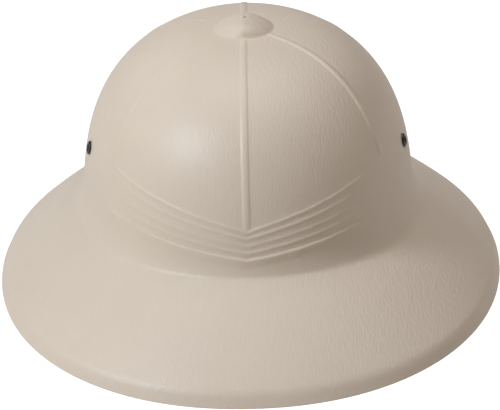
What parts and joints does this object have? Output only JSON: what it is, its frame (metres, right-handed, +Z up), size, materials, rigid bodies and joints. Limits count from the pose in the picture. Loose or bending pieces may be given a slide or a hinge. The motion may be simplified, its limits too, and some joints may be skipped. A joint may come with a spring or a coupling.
{
  "type": "pith helmet",
  "caption": "Moulded pith helmet with a domed, ribbed crown, a top button, a pleated front band, side vent eyelets and a sloping brim with a turned-down lip.",
  "frame": {"origin": "middle of the rim's box, on the plane that the rim rests on", "axes": "+Z up towards the button; -Y is the front of the helmet, the way the wearer faces; +X is the wearer's left"},
  "size_m": [0.2902, 0.3316, 0.1519],
  "materials": {
    "shell": "semi-matte stone-coloured moulded fibre with a fine linen grain",
    "eyelets": "black enamel, satin"
  },
  "bodies": {
    "root": {"helmet_shell": "shell", "eyelet_left": "eyelets", "eyelet_right": "eyelets"}
  },
  "joints": []
}
